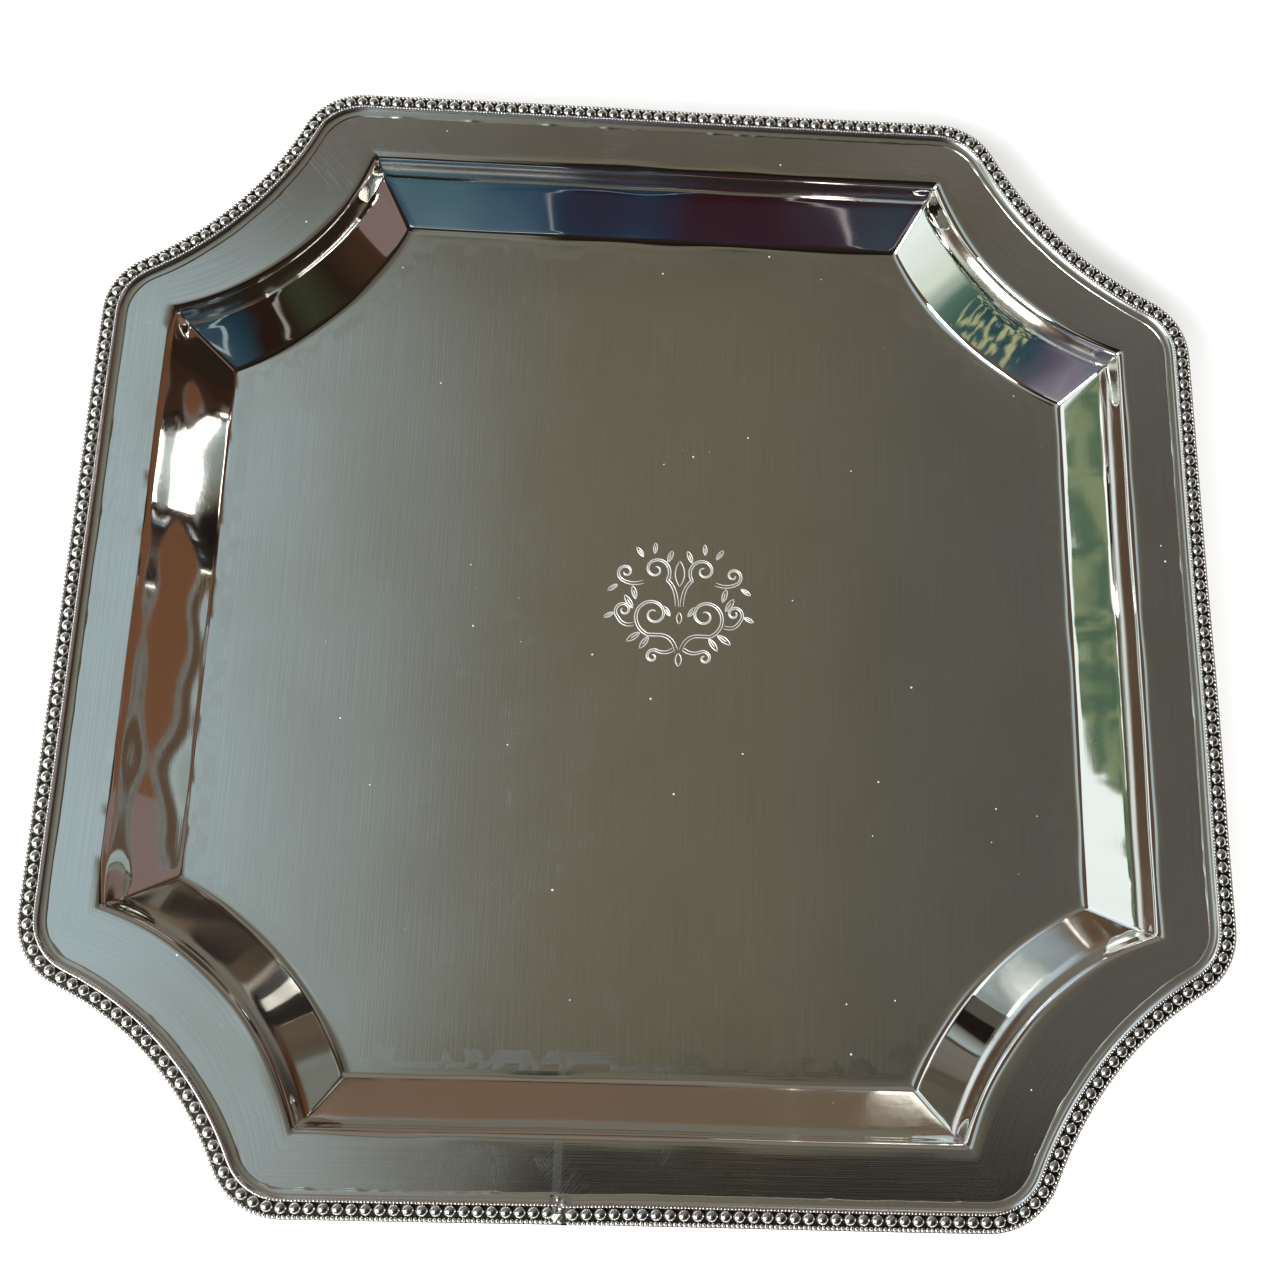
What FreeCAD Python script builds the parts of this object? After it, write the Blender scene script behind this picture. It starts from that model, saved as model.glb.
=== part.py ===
import FreeCAD, Part
import math
import os
import Sketcher

# A square silver salver with four incurved corners: one raised sheet, one beaded strip soldered
# round its edge, the solder seam that holds the strip, and the solder in the strip's closing joint.
# Millimetres. The origin is under the middle of the well. +Z is up, +X right, +Y away from the joint.

doc = FreeCAD.newDocument("salver")

# ---------------------------------------------------------------- driving dimensions

SIZES = {
    "half_side": 140.0,  # middle of the dish to a straight side
    "corner_rounding": 17.5,  # each of the eight outer corners
    "sheet_gauge": 1.0,
    "well_depth": 18.0,  # rim face down to well face
    "booge_top_inset": 18.8,  # outer edge to the top of the booge, along the rim
    "booge_foot_inset": 29.0,  # outer edge to the foot of the booge
    "crease_radius": 3.2,  # the eight slanting creases of the booge
    # The booge's level bends, and then the bends of its underside.
    "booge_foot_radius": 2.6,
    "booge_top_radius": 2.2,
    "underside_crease_radius": 4.2,
    "underside_top_radius": 3.0,
    "underside_foot_radius": 3.4,
    "booge_scoop_centre": 143.5,  # X and Y of the four scoops of the booge, which was raised on a form
    "booge_scoop_radius": 72.7,  # at the top of the booge
    # The corners of the edge were scooped by hand, so each has its own centre and radius.
    "scoop_se_x": 176.2,
    "scoop_se_y": -163.3,
    "scoop_se_radius": 88.2,
    "scoop_ne_x": 178.7,
    "scoop_ne_y": 177.2,
    "scoop_ne_radius": 99.8,
    "scoop_nw_x": -174.0,
    "scoop_nw_y": 164.0,
    "scoop_nw_radius": 87.1,
    "scoop_sw_x": -159.4,
    "scoop_sw_y": -161.4,
    "scoop_sw_radius": 74.7,
    # Section of the border strip: distances in from the outer edge, heights above the rim face.
    "strip_outer_inset": 0.3,
    "bead_row_shoulder": 0.6,
    "bead_row_radius": 0.55,
    "channel_outer_inset": 1.35,
    "channel_floor": 0.45,
    "channel_inner_inset": 3.95,
    "ridge_shoulder": 1.1,
    "ridge_radius": 0.36,
    "ridge_inner_inset": 4.55,
    "cove_radius": 1.9,
    "strip_inner_inset": 6.4,
    "strip_foot": 0.25,
    "seam_inner_inset": 6.95,
    # The row of round pearls in the channel.
    "pearl_inset": 2.65,
    "pearl_radius": 1.17,
    "pearl_pitch": 3.03,
    "pearl_root_angle": 15.0,  # how far below its equator a pearl is rooted in the strip
    # Where the two ends of the strip meet, on the near side.
    "joint_x": -15.5,
    "joint_gap": 0.7,
    "joint_bare_length": 5.4,  # no pearls along this much of the strip
}
CORNERS = ("se", "ne", "nw", "sw")
# How a sketch names the ends and the centre of a curve, its own origin and its own X axis.
SKETCH_START = 1
SKETCH_END = 2
SKETCH_CENTRE = 3
ORIGIN_POINT = (-1, 1)
X_AXIS = -1
QUARTER_TURN = 90  # degrees
FULL_TURN = 360
TINY = 1e-4
CLEAR = 1.0  # how far cutting tools run past what they cut

sheet = doc.addObject("Spreadsheet::Sheet", "Sizes")
for row, (alias, value) in enumerate(SIZES.items(), start=1):
    sheet.set(f"A{row}", alias)
    sheet.set(f"B{row}", str(value))
    sheet.setAlias(f"B{row}", alias)
doc.recompute()


def size(alias):
    return float(getattr(sheet, alias))


RIM_FACE = "(Sizes.sheet_gauge + Sizes.well_depth)"
rim_face = size("sheet_gauge") + size("well_depth")


def bind(thing, **expressions):
    """Ties properties of an object to cells of the sheet. A double underscore stands for a dot."""
    for name, expression in expressions.items():
        thing.setExpression(name.replace("__", "."), expression)
    return thing


# ---------------------------------------------------------------- outline of the dish


def corner_signs(corner):
    return (1 if corner[1] == "e" else -1), (1 if corner[0] == "n" else -1)


def scoop(corner):
    """Centre and radius of the round scoop that cuts a corner away."""
    centre = FreeCAD.Vector(size(f"scoop_{corner}_x"), size(f"scoop_{corner}_y"), 0)
    return centre, size(f"scoop_{corner}_radius")


def rounding_centres(corner, inset):
    """Centres of the two roundings beside a scoop: on the X side of it and on the Y side of it.
    Both are the same for every inset smaller than the rounding."""
    centre, radius = scoop(corner)
    sign_x, sign_y = corner_signs(corner)
    level = size("half_side") - size("corner_rounding")
    reach = radius + size("corner_rounding")
    along_x = math.sqrt(reach**2 - (centre.y - sign_y * level) ** 2)
    along_y = math.sqrt(reach**2 - (centre.x - sign_x * level) ** 2)
    beside_x = FreeCAD.Vector(centre.x - sign_x * along_x, sign_y * level, 0)
    beside_y = FreeCAD.Vector(sign_x * level, centre.y - sign_y * along_y, 0)
    return beside_x, beside_y


def outline_segments(inset):
    """The outline, counter-clockwise from the strip's joint, as (kind, start, end, centre, radius)."""
    side = size("half_side") - inset
    rounding = size("corner_rounding") - inset
    ends = {}
    for corner in CORNERS:
        centre, radius = scoop(corner)
        sign_x, sign_y = corner_signs(corner)
        beside_x, beside_y = rounding_centres(corner, inset)
        touch_x = beside_x + (centre - beside_x).normalize() * rounding
        touch_y = beside_y + (centre - beside_y).normalize() * rounding
        side_x = beside_x + FreeCAD.Vector(0, sign_y * rounding, 0)
        side_y = beside_y + FreeCAD.Vector(sign_x * rounding, 0, 0)
        chain = [
            ("convex", side_x, touch_x, beside_x, rounding),
            ("concave", touch_x, touch_y, centre, radius + inset),
            ("convex", touch_y, side_y, beside_y, rounding),
        ]
        if corner in ("ne", "sw"):
            chain = [(kind, end, start, middle, r) for kind, start, end, middle, r in reversed(chain)]
        ends[corner] = chain
    joint = FreeCAD.Vector(size("joint_x"), -side, 0)
    segments = []
    here = joint
    for corner in CORNERS:
        segments.append(("line", here, ends[corner][0][1], None, 0))
        segments += ends[corner]
        here = ends[corner][-1][2]
    segments.append(("line", here, joint, None, 0))
    return segments


def add_arc(sketch, centre, radius, first, last):
    """Adds the arc that runs counter-clockwise from first to last."""
    angle_first = math.atan2(first.y - centre.y, first.x - centre.x)
    angle_last = math.atan2(last.y - centre.y, last.x - centre.x)
    circle = Part.Circle(centre, FreeCAD.Vector(0, 0, 1), radius)
    sketch.addGeometry(Part.ArcOfCircle(circle, angle_first, angle_last))


def outline_sketch(name):
    """A fully constrained sketch of the outline, whose sizes come from the sheet."""
    sketch = doc.addObject("Sketcher::SketchObject", name)
    segments = outline_segments(0)
    for kind, start, end, centre, radius in segments:
        if kind == "line":
            sketch.addGeometry(Part.LineSegment(start, end))
            continue
        first, last = (start, end) if kind == "convex" else (end, start)
        add_arc(sketch, centre, radius, first, last)
    count = len(segments)
    for index in range(count - 1):
        leaves = SKETCH_START if segments[index][0] == "concave" else SKETCH_END
        enters = SKETCH_END if segments[index + 1][0] == "concave" else SKETCH_START
        sketch.addConstraint(Sketcher.Constraint("Tangent", index, leaves, index + 1, enters))
    last = count - 1
    sketch.addConstraint(Sketcher.Constraint("Coincident", last, SKETCH_END, 0, SKETCH_START))

    def dimension(label, expression, *arguments):
        number = sketch.addConstraint(Sketcher.Constraint(*arguments))
        sketch.renameConstraint(number, label)
        sketch.setExpression(f"Constraints.{label}", expression)

    side_lines = [index for index, segment in enumerate(segments) if segment[0] == "line"]
    near, right, far, left, near_again = side_lines
    for index in (near, far, near_again):
        sketch.addConstraint(Sketcher.Constraint("Horizontal", index))
    for index in (right, left):
        sketch.addConstraint(Sketcher.Constraint("Vertical", index))
    half = size("half_side")
    for label, kind, index, sign in (
        ("near_side", "DistanceY", near, -1),
        ("right_side", "DistanceX", right, 1),
        ("far_side", "DistanceY", far, 1),
        ("left_side", "DistanceX", left, -1),
    ):
        dimension(
            label,
            f"{sign} * Sizes.half_side",
            kind,
            *ORIGIN_POINT,
            index,
            SKETCH_START,
            sign * half,
        )
    dimension("joint", "Sizes.joint_x", "DistanceX", *ORIGIN_POINT, near, SKETCH_START, size("joint_x"))
    corner_of_scoop = iter(CORNERS)
    rounding_number = 0
    for index, (kind, start, end, centre, radius) in enumerate(segments):
        if kind == "convex":
            rounding_number += 1
            label = f"rounding_{rounding_number}"
            dimension(label, "Sizes.corner_rounding", "Radius", index, radius)
        if kind == "concave":
            corner = next(corner_of_scoop)
            dimension(f"scoop_{corner}", f"Sizes.scoop_{corner}_radius", "Radius", index, radius)
            for axis, value in (("x", centre.x), ("y", centre.y)):
                dimension(
                    f"scoop_{corner}_{axis}",
                    f"Sizes.scoop_{corner}_{axis}",
                    f"Distance{axis.upper()}",
                    *ORIGIN_POINT,
                    index,
                    SKETCH_CENTRE,
                    value,
                )
    return bind(sketch, Placement__Base__z=RIM_FACE)


outline = outline_sketch("Outline")

# ---------------------------------------------------------------- tray_body: rim, booge and well

rim_plate = doc.addObject("Part::Extrusion", "RimPlate")
rim_plate.Base = outline
rim_plate.Dir = FreeCAD.Vector(0, 0, -1)
rim_plate.DirMode = "Custom"
rim_plate.Solid = True
bind(rim_plate, LengthFwd="Sizes.sheet_gauge")

BOOGE_RUN = "(Sizes.booge_foot_inset - Sizes.booge_top_inset)"
SKIN_SHIFT = f"(Sizes.sheet_gauge * sqrt(Sizes.well_depth^2 + {BOOGE_RUN}^2) / Sizes.well_depth)"


def booge_inset(level, shift):
    """How far in from the outer edge the booge wall stands at a height, moved outward by shift."""
    climbed = f"({level} - Sizes.sheet_gauge)"
    return f"(Sizes.booge_foot_inset - {climbed} * {BOOGE_RUN} / Sizes.well_depth - {shift})"


def bowl(name, low, high, shift):
    """A solid with four sloping flat walls and four sloping scooped corners, from low to high."""
    inset_low = booge_inset(low, shift)
    inset_high = booge_inset(high, shift)
    walls = doc.addObject("Part::Wedge", f"{name}Walls")
    walls.Placement.Rotation = FreeCAD.Rotation(FreeCAD.Vector(1, 0, 0), QUARTER_TURN)
    walls.Ymin = 0
    for letter in ("X", "Z"):
        walls.setExpression(f"{letter}min", f"{inset_low} - Sizes.half_side")
        walls.setExpression(f"{letter}max", f"Sizes.half_side - {inset_low}")
        walls.setExpression(f"{letter}2min", f"{inset_high} - Sizes.half_side")
        walls.setExpression(f"{letter}2max", f"Sizes.half_side - {inset_high}")
    bind(walls, Ymax=f"{high} - {low}", Placement__Base__z=low)
    cones = []
    for corner in CORNERS:
        sign_x, sign_y = corner_signs(corner)
        cone = doc.addObject("Part::Cone", f"{name}Scoop_{corner}")
        bind(
            cone,
            Radius1=f"Sizes.booge_scoop_radius + {inset_low} - Sizes.booge_top_inset",
            Radius2=f"Sizes.booge_scoop_radius + {inset_high} - Sizes.booge_top_inset",
            Height=f"{high} - {low}",
            Placement__Base__x=f"{sign_x} * Sizes.booge_scoop_centre",
            Placement__Base__y=f"{sign_y} * Sizes.booge_scoop_centre",
            Placement__Base__z=low,
        )
        cones.append(cone)
    scoops = doc.addObject("Part::Compound", f"{name}Scoops")
    scoops.Links = cones
    solid = doc.addObject("Part::Cut", name)
    solid.Base = walls
    solid.Tool = scoops
    return solid


outside = bowl("BowlOutside", "0", RIM_FACE, SKIN_SHIFT)
hollow = bowl("BowlHollow", "Sizes.sheet_gauge", f"({RIM_FACE} + {CLEAR})", "0")

raised = doc.addObject("Part::Fuse", "RaisedSheet")
raised.Base = rim_plate
raised.Tool = outside
raised.Refine = True
hollowed = doc.addObject("Part::Cut", "HollowedSheet")
hollowed.Base = raised
hollowed.Tool = hollow
doc.recompute()


def booge_inset_of(point):
    """How far a point stands in from the outer edge, along the booge's own outline."""
    half = size("half_side")
    centre = size("booge_scoop_centre")
    from_sides = half - max(abs(point.x), abs(point.y))
    from_scoop = math.hypot(abs(point.x) - centre, abs(point.y) - centre)
    return min(from_sides, from_scoop - size("booge_scoop_radius") + size("booge_top_inset"))


def level_bends(shape, level):
    """Names of the level edges at a height that belong to the booge, and not to the outer edge."""
    names = []
    for number, edge in enumerate(shape.Edges, start=1):
        box = edge.BoundBox
        middle = edge.valueAt((edge.FirstParameter + edge.LastParameter) / 2)
        is_level = box.ZMax - box.ZMin < TINY and abs(middle.z - level) < TINY
        if is_level and booge_inset_of(middle) > size("booge_top_inset") / 2:
            names.append(f"Edge{number}")
    return names


def creases(shape, inside):
    """Names of the slanting edges between the booge's panels, on the inside or on the underside."""
    run = size("booge_foot_inset") - size("booge_top_inset")
    names = []
    for number, edge in enumerate(shape.Edges, start=1):
        box = edge.BoundBox
        middle = edge.valueAt((edge.FirstParameter + edge.LastParameter) / 2)
        climbed = (middle.z - size("sheet_gauge")) / size("well_depth")
        inner_face = size("booge_foot_inset") - climbed * run
        is_inside = booge_inset_of(middle) > inner_face - size("sheet_gauge") / 2
        if box.ZMax - box.ZMin > size("well_depth") / 2 and is_inside == inside:
            names.append(f"Edge{number}")
    return names


tray = doc.addObject("PartDesign::Body", "tray_body")
tray.Label = "tray_body"
tray.BaseFeature = hollowed
doc.recompute()

BENDS = (
    ("crease_radius", creases, True),
    ("booge_foot_radius", level_bends, size("sheet_gauge")),
    ("booge_top_radius", level_bends, rim_face),
    ("underside_crease_radius", creases, False),
    ("underside_top_radius", level_bends, rim_face - size("sheet_gauge")),
    ("underside_foot_radius", level_bends, 0),
)
for alias, pick, argument in BENDS:
    base = tray.Tip
    bend = tray.newObject("PartDesign::Fillet", alias.title().replace("_", ""))
    bend.Base = (base, pick(base.Shape, argument))
    bend.setExpression("Radius", f"Sizes.{alias}")
    doc.recompute()

# ---------------------------------------------------------------- sections swept round the edge


def section_sketch(name, points, arcs):
    """A closed, fully constrained section. points are (inset cell, height cell) pairs, with None for
    a height on the rim face. arcs gives the steps that curve: the radius cell, and whether the arc
    stands proud of its chord or is hollow."""
    sketch = doc.addObject("Sketcher::SketchObject", name)
    corners = []
    for inset, height in points:
        corners.append(FreeCAD.Vector(size(inset), size(height) if height else 0, 0))
    count = len(corners)
    for index, start in enumerate(corners):
        end = corners[(index + 1) % count]
        if index not in arcs:
            sketch.addGeometry(Part.LineSegment(start, end))
            continue
        alias, shape = arcs[index]
        chord = end - start
        to_centre = FreeCAD.Vector(chord.y, -chord.x, 0).normalize()
        drop = math.sqrt(size(alias) ** 2 - chord.Length**2 / 4)
        if shape == "proud":
            add_arc(sketch, (start + end) / 2 + to_centre * drop, size(alias), end, start)
        else:
            add_arc(sketch, (start + end) / 2 - to_centre * drop, size(alias), start, end)

    def start_of(index):
        """The sketch's name for the point where a step starts: a proud arc is drawn backwards."""
        return SKETCH_END if index in arcs and arcs[index][1] == "proud" else SKETCH_START

    for index in range(count):
        following = (index + 1) % count
        leaves = SKETCH_START if start_of(index) == SKETCH_END else SKETCH_END
        arguments = (index, leaves, following, start_of(following))
        sketch.addConstraint(Sketcher.Constraint("Coincident", *arguments))

    def dimension(label, alias, *arguments):
        number = sketch.addConstraint(Sketcher.Constraint(*arguments))
        sketch.renameConstraint(number, label)
        sketch.setExpression(f"Constraints.{label}", f"Sizes.{alias}")

    for index, (inset, height) in enumerate(points):
        place = (index, start_of(index))
        dimension(f"inset_{index}", inset, "DistanceX", *ORIGIN_POINT, *place, corners[index].x)
        if height:
            dimension(f"height_{index}", height, "DistanceY", *ORIGIN_POINT, *place, corners[index].y)
        else:
            sketch.addConstraint(Sketcher.Constraint("PointOnObject", *place, X_AXIS))
    for index, (alias, shape) in arcs.items():
        dimension(f"radius_{index}", alias, "Radius", index, size(alias))
    inward = FreeCAD.Vector(0, 1, 0)
    upward = FreeCAD.Vector(0, 0, 1)
    along = FreeCAD.Vector(1, 0, 0)
    sketch.Placement.Rotation = FreeCAD.Rotation(inward, upward, along, "ZXY")
    return bind(
        sketch,
        Placement__Base__x="Sizes.joint_x",
        Placement__Base__y="-Sizes.half_side",
        Placement__Base__z=RIM_FACE,
    )


def swept(name, section):
    """The section carried round the whole outline, back to where it started."""
    sweep = doc.addObject("Part::Sweep", name)
    sweep.Sections = [section]
    sweep.Spine = (outline, [f"Edge{number + 1}" for number in range(len(outline.Shape.Edges))])
    sweep.Solid = True
    sweep.Frenet = False
    return sweep


strip_section = section_sketch(
    "StripSection",
    [
        ("strip_outer_inset", None),
        ("strip_outer_inset", "bead_row_shoulder"),
        ("channel_outer_inset", "bead_row_shoulder"),
        ("channel_outer_inset", "channel_floor"),
        ("channel_inner_inset", "channel_floor"),
        ("channel_inner_inset", "ridge_shoulder"),
        ("ridge_inner_inset", "ridge_shoulder"),
        ("strip_inner_inset", "strip_foot"),
        ("strip_inner_inset", None),
    ],
    {1: ("bead_row_radius", "proud"), 5: ("ridge_radius", "proud"), 6: ("cove_radius", "hollow")},
)
seam_section = section_sketch(
    "SeamSection",
    [
        ("strip_inner_inset", None),
        ("strip_inner_inset", "strip_foot"),
        ("seam_inner_inset", None),
    ],
    {},
)
strip_blank = swept("StripBlank", strip_section)

# ---------------------------------------------------------------- beaded_border: pearls and joint


def point_along(segments, distance):
    """The point at a distance along a chain of lines and arcs."""
    for kind, start, end, centre, radius in segments:
        if kind == "line":
            length = (end - start).Length
        else:
            from_centre = start - centre
            turn = from_centre.getAngle(end - centre)
            length = radius * turn
        if distance <= length:
            break
        distance -= length
    if kind == "line":
        return start + (end - start).normalize() * distance
    direction = 1 if kind == "convex" else -1
    turned = FreeCAD.Rotation(FreeCAD.Vector(0, 0, direction), math.degrees(distance / radius))
    return centre + turned.multVec(from_centre)


def chain_length(segments):
    total = 0
    for kind, start, end, centre, radius in segments:
        turn = 0 if kind == "line" else (start - centre).getAngle(end - centre)
        total += (end - start).Length if kind == "line" else radius * turn
    return total


def pearl_row():
    """The pearls, as domes rooted in the channel floor, evenly spaced from one side of the joint
    to the other."""
    row = outline_segments(size("pearl_inset"))
    spare = chain_length(row) - size("joint_bare_length")
    gaps = round(spare / size("pearl_pitch"))
    floor = rim_face + size("channel_floor")
    domes = []
    for number in range(gaps + 1):
        centre = point_along(row, size("joint_bare_length") / 2 + number * spare / gaps)
        centre.z = floor
        root = -size("pearl_root_angle")
        up = FreeCAD.Vector(0, 0, 1)
        domes.append(Part.makeSphere(size("pearl_radius"), centre, up, root, QUARTER_TURN, FULL_TURN))
    return domes


pearls = doc.addObject("Part::Feature", "PearlRow")
pearls.Shape = Part.makeCompound(pearl_row())
beaded_blank = doc.addObject("Part::Fuse", "BeadedBlank")
beaded_blank.Base = strip_blank
beaded_blank.Tool = pearls

joint_slot = doc.addObject("Part::Box", "JointSlot")
bind(
    joint_slot,
    Length="Sizes.joint_gap",
    Width=f"Sizes.strip_inner_inset + {CLEAR}",
    Height=f"Sizes.ridge_shoulder + {CLEAR}",
    Placement__Base__x="Sizes.joint_x - Sizes.joint_gap / 2",
    Placement__Base__y=f"-Sizes.half_side - {CLEAR}",
    Placement__Base__z=RIM_FACE,
)

border = doc.addObject("Part::Cut", "BeadedBorder")
border.Label = "beaded_border"
border.Base = beaded_blank
border.Tool = joint_slot

# ---------------------------------------------------------------- the two runs of solder

seam = swept("BorderSolderSeam", seam_section)
seam.Label = "border_solder_seam"

joint_solder = doc.addObject("Part::Common", "ClosingJointSolder")
joint_solder.Label = "closing_joint_solder"
joint_solder.Base = strip_blank
joint_solder.Tool = joint_slot

# ---------------------------------------------------------------- checks and files

doc.recompute()
for thing in doc.Objects:
    if "Invalid" in thing.State or "Error" in thing.State:
        raise RuntimeError(f"{thing.Label} failed: {thing.State}")

os.makedirs("parts", exist_ok=True)
for piece in (tray, border, seam, joint_solder):
    shape = piece.Shape
    if shape.isNull() or not shape.isValid():
        raise RuntimeError(f"{piece.Label} has no valid shape")
    print(piece.Label, "solids", len(shape.Solids), "faces", len(shape.Faces), "mm3", round(shape.Volume, 1))
    shape.exportStep(f"parts/{piece.Label}.step")
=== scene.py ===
import math

import bmesh
import bpy
import numpy as np
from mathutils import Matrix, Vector
from mathutils.geometry import delaunay_2d_cdt


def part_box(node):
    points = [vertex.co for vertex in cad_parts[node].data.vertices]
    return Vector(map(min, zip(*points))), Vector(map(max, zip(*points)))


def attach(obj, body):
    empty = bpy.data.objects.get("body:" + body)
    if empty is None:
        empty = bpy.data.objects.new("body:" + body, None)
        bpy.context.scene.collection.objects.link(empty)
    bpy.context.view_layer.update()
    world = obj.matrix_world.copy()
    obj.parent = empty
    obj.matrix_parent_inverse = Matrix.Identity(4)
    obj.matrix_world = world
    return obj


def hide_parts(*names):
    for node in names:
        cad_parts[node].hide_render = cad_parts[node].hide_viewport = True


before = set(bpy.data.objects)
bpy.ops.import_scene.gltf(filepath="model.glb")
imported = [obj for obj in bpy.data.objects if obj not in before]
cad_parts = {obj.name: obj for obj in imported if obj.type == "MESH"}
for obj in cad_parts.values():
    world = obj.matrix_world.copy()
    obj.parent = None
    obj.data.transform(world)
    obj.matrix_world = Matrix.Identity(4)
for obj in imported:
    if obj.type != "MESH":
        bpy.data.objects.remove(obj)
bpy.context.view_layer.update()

# A square silver salver with incurved corners. Lengths are in millimetres in the frame of the CAD
# model, up to make_piece(), which turns them into metres.

MM = 0.001
TRAY_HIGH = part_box("tray_body")[1] / MM
HALF_SIDE = TRAY_HIGH.x
RIM_FACE = TRAY_HIGH.z
GAUGE = 1.0
WELL_FACE = GAUGE
WELL_DEPTH = RIM_FACE - WELL_FACE

CORNER_ROUNDING = 17.5
# Centre and radius of the scoop that cuts each corner of the edge, counter-clockwise from the near
# right one. They differ because the corners were cut by hand.
EDGE_SCOOPS = (
    (176.2, -163.3, 88.2),
    (178.7, 177.2, 99.8),
    (-174.0, 164.0, 87.1),
    (-159.4, -161.4, 74.7),
)
CORNER_SIGNS = ((1, -1), (1, 1), (-1, 1), (-1, -1))
BOOGE_SCOOP_CENTRE = 143.5
BOOGE_SCOOP_RADIUS = 72.7
BOOGE_TOP = 18.8  # in from the edge
BOOGE_FOOT = 29.0
BOOGE_RUN = BOOGE_FOOT - BOOGE_TOP

JOINT_X = -15.5
JOINT_BARE = 5.4  # no pearls along this much of the strip

SIDE_STEPS = 62
SCOOP_STEPS = 46
ROUNDING_STEPS = 8


# ---------------------------------------------------------------- outlines


def turn_round(centre, start, end, direction, steps):
    """Points on the arc from start to end about centre, without the last one."""
    radius = np.linalg.norm(start - centre)
    first = math.atan2(start[1] - centre[1], start[0] - centre[0])
    last = math.atan2(end[1] - centre[1], end[0] - centre[0])
    turn = direction * ((direction * (last - first)) % math.tau)
    angles = first + turn * np.arange(steps) / steps
    return centre + radius * np.c_[np.cos(angles), np.sin(angles)]


def straight(start, end, steps):
    share = np.arange(steps)[:, None] / steps
    return start + (end - start) * share


def corner(side, rounding, scoop, signs):
    """Where a corner leaves one side, its points, and where it meets the next side."""
    centre = np.array(scoop[:2])
    sx, sy = signs
    level = side - rounding
    reach = scoop[2] + rounding
    along_x = math.sqrt(reach**2 - (abs(centre[1]) - level) ** 2)
    along_y = math.sqrt(reach**2 - (abs(centre[0]) - level) ** 2)
    beside_x = np.array((centre[0] - sx * along_x, sy * level))
    beside_y = np.array((sx * level, centre[1] - sy * along_y))
    ends = []
    for middle, outward in ((beside_x, (0, sy)), (beside_y, (sx, 0))):
        on_side = middle + np.array(outward) * rounding
        ends.append((middle, on_side, middle + (centre - middle) * rounding / reach))
    if sx * sy > 0:
        ends.reverse()
    (first, leaves, touch), (second, meets, next_touch) = ends
    points = [
        turn_round(first, leaves, touch, 1, ROUNDING_STEPS),
        turn_round(centre, touch, next_touch, -1, SCOOP_STEPS),
        turn_round(second, next_touch, meets, 1, ROUNDING_STEPS),
    ]
    return leaves, np.concatenate(points), meets


def outline(side, scoops, rounding):
    """The closed outline of a square with scooped and rounded corners, counter-clockwise from the
    strip's joint. Every outline has the same number of points, in step with each other."""
    joint = np.array((JOINT_X, -side))
    half = SIDE_STEPS // 2
    pieces = []
    here = joint
    for scoop, signs in zip(scoops, CORNER_SIGNS):
        leaves, points, meets = corner(side, rounding, scoop, signs)
        pieces.append(straight(here, leaves, SIDE_STEPS if pieces else half))
        pieces.append(points)
        here = meets
    pieces.append(straight(here, joint, half))
    return np.concatenate(pieces)


def edge_outline(inset):
    """The edge's outline, moved in by inset."""
    scoops = [(cx, cy, radius + inset) for cx, cy, radius in EDGE_SCOOPS]
    return outline(HALF_SIDE - inset, scoops, CORNER_ROUNDING - inset)


def booge_outline(inset, crease):
    """The booge's outline at an inset, with its corners rounded to the radius crease."""
    radius = BOOGE_SCOOP_RADIUS + inset - BOOGE_TOP
    scoops = [(sx * BOOGE_SCOOP_CENTRE, sy * BOOGE_SCOOP_CENTRE, radius) for sx, sy in CORNER_SIGNS]
    return outline(HALF_SIDE - inset, scoops, crease)


def booge_inset_of(points):
    """How far points of the plan stand in from the edge, along the booge's outline."""
    from_sides = HALF_SIDE - np.abs(points).max(1)
    from_scoop = np.hypot(*(np.abs(points) - BOOGE_SCOOP_CENTRE).T)
    return np.minimum(from_sides, from_scoop - BOOGE_SCOOP_RADIUS + BOOGE_TOP)


# ---------------------------------------------------------------- unevenness of hand work

HAND_SHRINK = 0.9985  # leaves room inside the CAD box for the unevenness
HAND_DROP = 0.22
HAND_PLAN = 0.13
HAND_LIFT = 0.16


def ripple(points, wavelength, seed):
    """A smooth uneven field between about -1 and 1, the same on every run."""
    chance = np.random.default_rng(seed)
    total = np.zeros(len(points))
    waves = 7
    for _ in range(waves):
        angle, phase = chance.uniform(0, math.tau, 2)
        stretch = chance.uniform(0.6, 1.5)
        direction = np.array((math.cos(angle), math.sin(angle))) * math.tau / (wavelength * stretch)
        total += np.sin(points[:, :2] @ direction + phase)
    return np.clip(total / math.sqrt(waves) / 1.4, -1.3, 1.3)


def hand_work(points):
    """Moves every piece of the salver in the same smooth uneven way, by a few tenths at most."""
    moved = points.copy()
    moved[:, :2] *= HAND_SHRINK
    moved[:, 0] += HAND_PLAN * ripple(points, 70, 11)
    moved[:, 1] += HAND_PLAN * ripple(points, 70, 12)
    lift = np.clip(points[:, 2] / RIM_FACE, 0, 1)
    moved[:, 2] += lift * (HAND_LIFT * ripple(points, 120, 13) - HAND_DROP)
    return moved


# ---------------------------------------------------------------- meshes

WELD = 1e-6  # metres within which two vertices become one


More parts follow.
